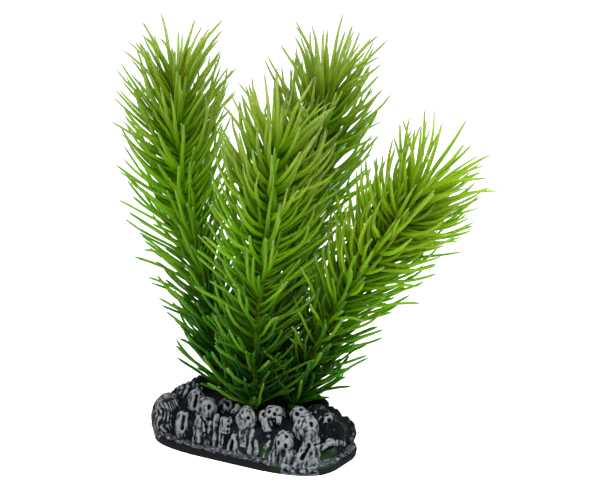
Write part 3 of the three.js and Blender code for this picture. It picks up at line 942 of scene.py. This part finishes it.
def bodyRings():
    angles = np.arange(footPlan["sides"]) * 2 * math.pi / footPlan["sides"]
    rings = []
    for height, inset in footPlan["levels"]:
        x, y = oblong(angles, footPlan["length"] / 2 - inset, footPlan["depth"] / 2 - inset)
        rings.append(np.stack([x, y, np.full_like(x, height)], axis=1))
    centres = [(0, 0, 0), (0, 0, footPlan["levels"][-1][0])]
    return np.concatenate(rings + [np.array(centres, float)])


def ballPoints(centre, radii, grid):
    rings, sides = grid
    downwards = np.linspace(0, math.pi, rings)[::-1]
    heights, widths = np.cos(downwards), np.maximum(np.sin(downwards), footPlan["ballPole"])
    centres = np.array(centre) + np.outer(heights, (0, 0, radii[2]))
    across, over = (1, 0, 0), (0, 1, 0)
    return tubePoints(centres, across, over, widths * radii[0], widths * radii[1], sides)


def runPoints(start, end, upperRadius, lowerRadius, grid):
    rings, sides = grid
    start, end = np.array((start, end), float)
    steps = np.linspace(0, 1, rings)
    across, over = crossDirections(unit(start - end))
    radii = between(lowerRadius, upperRadius, steps)
    centres = end + np.outer(steps, start - end)
    return tubePoints(centres, across, over, radii, radii, sides)


def roughFoot():  # the body, its knobs and its runs as closed tubes that overlap
    parts = MeshParts(())
    parts.add(bodyRings(), tubeFaces(len(footPlan["levels"]), footPlan["sides"]))
    ballFaces, runFaces = tubeFaces(*footPlan["ballGrid"]), tubeFaces(*footPlan["runGrid"])
    for centre, radii, _ in knobs.values():
        parts.add(ballPoints(centre, radii, footPlan["ballGrid"]), ballFaces)
    for start, end, upperRadius, lowerRadius, _ in runs:
        parts.add(runPoints(start, end, upperRadius, lowerRadius, footPlan["runGrid"]), runFaces)
    points, faces, _ = parts.joined()
    return meshObject("foot_rough", points, faces, {}, rockMaterial)


def modified(thing):  # a new mesh, with its modifiers applied
    evaluated = thing.evaluated_get(bpy.context.evaluated_depsgraph_get())
    return bpy.data.meshes.new_from_object(evaluated)


def remeshed(rough, voxel, melting):
    remesh = rough.modifiers.new("one skin", "REMESH")
    remesh.mode = "VOXEL"
    remesh.voxel_size = voxel * mm
    melt = rough.modifiers.new("melted", "SMOOTH")
    melt.factor = footPlan["pace"]
    melt.iterations = melting
    mesh = modified(rough)
    skin = np.array([vertex.co for vertex in mesh.vertices]) / mm
    skinFaces = [tuple(face.vertices) for face in mesh.polygons]
    bpy.data.objects.remove(rough)
    bpy.data.meshes.remove(mesh)
    return skin, skinFaces


def quadNormals(points, faces):
    corners = points[np.array(faces)]
    facing = np.cross(corners[:, 2] - corners[:, 0], corners[:, 3] - corners[:, 1])
    normals = np.zeros_like(points)
    for corner in range(4):
        np.add.at(normals, np.array(faces)[:, corner], facing)
    return unit(normals + tiny)


def relaxed(points, faces, steps):  # each point moves towards the middle of its neighbours
    quads = np.array(faces)
    count = np.zeros(len(points))
    for corner in range(4):
        np.add.at(count, quads[:, corner], 2)
    for _ in range(steps):
        total = np.zeros_like(points)
        for corner in range(4):
            for other in ((corner + 1) % 4, (corner + 3) % 4):
                np.add.at(total, quads[:, corner], points[quads[:, other]])
        points = between(points, total / count[:, None], footPlan["pace"])
    return points


def nearSegment(points, start, end):
    start, end = np.array((start, end), float)
    along = end - start
    share = np.clip((points - start) @ along / (along @ along), 0, 1)
    return np.linalg.norm(points - start - np.outer(share, along), axis=1), share


def awayFrom(points, knob):  # 1 on the knob's own surface
    centre, radii, _ = knob
    return np.linalg.norm((points - np.array(centre)) / np.array(radii), axis=1)


# Relief of the rock: how high each kind is, and between which places it comes or goes. Edges are
# multiples of a radius, and the others are heights above the ground.
reliefPlan = {
    "liftedFrom": (0.6, 2.0),  # the underside stays flat
    "knobEdge": (1.0, 1.2),
    "paintEdge": (1.0, 1.3),
    "mossEdge": (0.5, 1.2),
    "hollowEdge": (0.5, 1.15),
    "drips": 0.50,
    "coarse": 0.24,
    "fine": 0.16,
    "ledge": 0.55,  # crumbly, above the plinth
    "ledgeFrom": (2.6, 3.1),
    "ledgeUpTo": (3.7, 4.6),
    "rim": 0.45,
    "rimUpTo": (2.6, 3.2),
    "plinthUpTo": (2.2, 2.9),
    "raisedFrom": (-0.30, 0.45),  # above the softened surface
}
# ridges on the left corner knob, drawn towards its top
ridgePlan = {
    "height": 0.25,
    "count": 22,  # ridges round the knob
    "wobble": 12,
    "ripple": 4.5,
    "rise": 0.35,
    "patches": (0.6, 1.5),
    "knobHeight": 9.6,
    "endsFrom": (0.12, 0.35),  # below its top, as shares of its height
}
# streaks on the knob behind it
streakPlan = {"height": 0.22, "direction": (0.9, 0.5, -0.75), "pitch": 3.2, "wobble": 4}
# scale per millimetre, stretch upwards, and an offset of its own
rockNoises = {
    "wobble": (0.16, 1, 3.0),
    "ripple": (0.45, 0.35, 31.0),
    "patches": (0.45, 1, 47.0),
    "drips": (0.95, 0.25, 11.0),
    "coarse": (0.42, 1, 5.0),
    "fine": (1.5, 1, 7.0),
    "ledge": (1.0, 1, 23.0),
    "rim": (0.22, 1, 53.0),
}


def fadingOut(name, values):
    return 1 - smooth(*reliefPlan[name], values)


def noiseOf(points, name):
    scale, stretch, offset = rockNoises[name]
    shift = Vector((offset, offset, offset))
    drawn = points * np.array((1, 1, stretch))
    return np.array([noise.noise(Vector(point) * scale + shift) for point in drawn])


def silverMask(points):
    silver = np.zeros(len(points))
    for knob in knobs.values():
        painted = fadingOut("paintEdge", awayFrom(points, knob))
        silver = np.maximum(silver, knob[2] * painted)
    for start, end, upperRadius, lowerRadius, paint in runs:
        away, share = nearSegment(points, start, end)
        radius = between(upperRadius, lowerRadius, share)
        silver = np.maximum(silver, paint * fadingOut("paintEdge", away / radius))
    return silver


def mossMask(points):
    moss = np.zeros(len(points))
    for centre, radius in mossSpots:
        away = np.linalg.norm(points - np.array(centre), axis=1) / radius
        moss = np.maximum(moss, fadingOut("mossEdge", away))
    return moss


def cornerRidges(points, wobble, onCorner):
    offset = points - np.array(knobs["cornerLeft"][0])
    turn = np.arctan2(offset[:, 1], offset[:, 0])
    angle = turn * ridgePlan["count"] + wobble * ridgePlan["wobble"]
    angle = angle + noiseOf(points, "ripple") * ridgePlan["ripple"]
    angle = angle + offset[:, 2] * ridgePlan["rise"]
    least, varies = ridgePlan["patches"]
    patchy = least + varies * noiseOf(points, "patches")
    belowTop = smooth(*ridgePlan["endsFrom"], 1 - offset[:, 2] / ridgePlan["knobHeight"])
    return ridgePlan["height"] * np.sin(angle) * patchy * onCorner * belowTop


def knobStreaks(points, wobble):
    onKnob = fadingOut("knobEdge", awayFrom(points, knobs["backLeft"]))
    place = points @ np.array(streakPlan["direction"])
    streaks = np.sin(place * streakPlan["pitch"] + wobble * streakPlan["wobble"])
    return streakPlan["height"] * streaks * onKnob


def rockRelief(points, ledge):
    onCorner = fadingOut("knobEdge", awayFrom(points, knobs["cornerLeft"]))
    rim = fadingOut("rimUpTo", points[:, 2])
    wobble = noiseOf(points, "wobble")
    relief = cornerRidges(points, wobble, onCorner) + knobStreaks(points, wobble)
    places = {"drips": 1 - onCorner, "coarse": 1, "fine": 1, "ledge": ledge, "rim": rim}
    for name, place in places.items():
        relief = relief + reliefPlan[name] * place * noiseOf(points, name)
    return relief


def sculptFoot():
    points, faces = remeshed(roughFoot(), footPlan["voxel"], footPlan["melting"])
    normals = quadNormals(points, faces)
    height = points[:, 2]
    ledge = smooth(*reliefPlan["ledgeFrom"], height) * fadingOut("ledgeUpTo", height)
    silver = silverMask(points)
    relief = rockRelief(points, ledge) * smooth(*reliefPlan["liftedFrom"], height)
    points = points + normals * relief[:, None]

    hollow = np.zeros(len(points))
    for start, end, radius, depth in hollows:
        away, share = nearSegment(points, start, end)
        inside = fadingOut("hollowEdge", away / radius)
        points = points - normals * (inside * depth)[:, None]
        hollow = np.maximum(hollow, inside)

    points[:, 2] = np.where(points[:, 2] < footPlan["flatBelow"], 0, points[:, 2])
    softened = relaxed(points, faces, footPlan["softening"])
    raised = np.einsum("ij,ij->i", points - softened, normals)
    masks = {
        "silver": silver,
        "raised": smooth(*reliefPlan["raisedFrom"], raised),
        "hollow": hollow,
        "ledge": ledge,
        "moss": mossMask(points),
        "plinth": fadingOut("plinthUpTo", points[:, 2]),
    }
    return points, faces, masks


# painted rock: a pair is a factor for a mask, and what is added to it
rockLook = {
    "black": (0.0014, 0.0018, 0.0022, 1),
    "navy": (0.0038, 0.0050, 0.0095, 1),
    "green": (0.013, 0.034, 0.012, 1),
    "greenPatches": (3.0, -2.05),
    "greenMoss": 1.4,
    "plinth": (0.008, 0.008, 0.009, 1),
    "plinthShare": 0.8,
    "silverDim": (0.052, 0.058, 0.070, 1),
    "silver": (0.160, 0.174, 0.204, 1),
    "beige": (0.188, 0.196, 0.180, 1),
    "brushedOn": (0.85, 0.17),  # more on what is raised
    "brushedLedge": (0.4, 0.55),
    "broken": (0.9, -0.45),  # by the grain
    "brokenShare": 0.6,
    "brushedEdge": (3.0, -1.12),
    "thickOn": (2.0, -0.7),
    "grain": (560.0, 1900.0, 2.6),
    "patches": (75.0, 900.0, 2.4),
    "roughness": (0.25, 0.48),
    "bump": (0.5, 0.2),  # strength and depth
    "specular": 0.04,
}


def groundColour(tree, look):  # under the silver paint
    mottle = addGrain(tree, look["patches"]).outputs["Mottle"]
    ground = mixColour(tree, mottle, look["black"], look["navy"])
    green = scaled(tree, mottle, look["greenPatches"])
    green = scaled(tree, maskOf(tree, "moss"), (look["greenMoss"], green), clamp=True)
    ground = mixColour(tree, green, ground, look["green"])
    plinth = product(tree, maskOf(tree, "plinth"), look["plinthShare"])
    return mixColour(tree, plinth, ground, look["plinth"])


def paintedRock(look):
    material, tree, shader = newMaterial("painted rock")
    grain = addGrain(tree, look["grain"])
    mottle, raised = grain.outputs["Mottle"], maskOf(tree, "raised")
    brushed = product(tree, maskOf(tree, "silver"), scaled(tree, raised, look["brushedOn"]))
    onLedge = product(tree, maskOf(tree, "ledge"), scaled(tree, raised, look["brushedLedge"]))
    brushed = mathOf(tree, "MAXIMUM", brushed, onLedge)
    broken = scaled(tree, mottle, look["broken"])
    brushed = scaled(tree, broken, (look["brokenShare"], brushed))
    brushed = scaled(tree, brushed, look["brushedEdge"], clamp=True)
    bare = mathOf(tree, "SUBTRACT", 1.0, maskOf(tree, "hollow"), clamp=True)
    thick = scaled(tree, raised, look["thickOn"], clamp=True)
    paint = mixColour(tree, mottle, look["silver"], look["beige"])
    paint = mixColour(tree, thick, look["silverDim"], paint)
    colour = mixColour(tree, product(tree, brushed, bare), groundColour(tree, look), paint)
    finishSurface(tree, shader, look, grain, colour)
    return material


def cutSockets(foot):
    for stem in grownStems.values():
        axis = stem["curve"].tangent(0)
        bottom = stem["curve"].point(0) - axis * footPlan["socketGap"]
        top = bottom + axis * footPlan["socketReach"]
        radius = whorlPlan["shaftRadius"] + footPlan["socketGap"]
        points = runPoints(top, bottom, radius, radius, footPlan["socketGrid"])
        faces = tubeFaces(*footPlan["socketGrid"])
        cutter = meshObject("socket_cutter", points, faces, {}, rockMaterial)
        cut = foot.modifiers.new("socket", "BOOLEAN")
        cut.operation = "DIFFERENCE"
        cut.solver = "EXACT"
        cut.object = cutter
        mesh = modified(foot)
        foot.modifiers.clear()
        foot.data = mesh
        bpy.data.objects.remove(cutter)


rockMaterial = paintedRock(rockLook)
footPoints, footFaces, footMasks = sculptFoot()
foot = meshObject("foot_casting", footPoints, footFaces, footMasks, rockMaterial)
cutSockets(foot)
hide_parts("foot")
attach(foot, "root")
print("foot has", len(foot.data.polygons), "faces")


# floor and light: the lights' distances and sizes are in metres
studioPlan = {
    "floor": (0.85, 0.85, 0.85, 1),
    "floorReach": 4000,
    "floorRoughness": 0.9,
    "floorGlow": 0.58,  # lifts the floor to the photo's white
    "white": (1, 1, 1, 1),
    "seen": 1.0,  # the white surround as the camera sees it
    "ambient": 0.46,  # and as it lights the object
    "key": {"azimuth": 58, "elevation": 55, "distance": 0.9, "size": 0.45, "watts": 12.0},
    "fill": {"azimuth": -25, "elevation": 40, "distance": 1.0, "size": 0.6, "watts": 6.0},
}


def addFloor():
    reach = studioPlan["floorReach"]
    corners = [(-reach, -reach, 0), (reach, -reach, 0), (reach, reach, 0), (-reach, reach, 0)]
    material, tree, shader = newMaterial("studio floor")
    seen = addNode(tree, "LightPath").outputs["Is Camera Ray"]
    feedAll(tree, shader, {
        "Base Color": studioPlan["floor"],
        "Roughness": studioPlan["floorRoughness"],
        "Specular IOR Level": 0,
        "Emission Color": studioPlan["white"],
        "Emission Strength": product(tree, seen, studioPlan["floorGlow"]),
    })
    floor = meshObject("studio_floor", np.array(corners, float), [(0, 1, 2, 3)], {}, material)


def addArea(name, plan, target):
    data = bpy.data.lights.new(name, "AREA")
    data.energy = plan["watts"]
    data.size = plan["size"]
    back = backDirection(plan["azimuth"], plan["elevation"])
    aimAt(addToScene(name, data), target + back * plan["distance"], target)


def addSurround():
    world = bpy.data.worlds.new("white surround")
    world.use_nodes = True
    tree = world.node_tree
    seen = addNode(tree, "LightPath").outputs["Is Camera Ray"]
    ambient = studioPlan["ambient"]
    feedAll(tree, tree.nodes["Background"], {
        "Color": studioPlan["white"],
        "Strength": scaled(tree, seen, (studioPlan["seen"] - ambient, ambient)),
    })
    bpy.context.scene.world = world


def addStudio():
    addFloor()
    middle = Vector(cameraPlan["target"]) * mm
    addArea("key", studioPlan["key"], middle)
    addArea("fill", studioPlan["fill"], middle)
    addSurround()
    bpy.context.scene.view_settings.view_transform = "Standard"


addStudio()
print("studio lit")
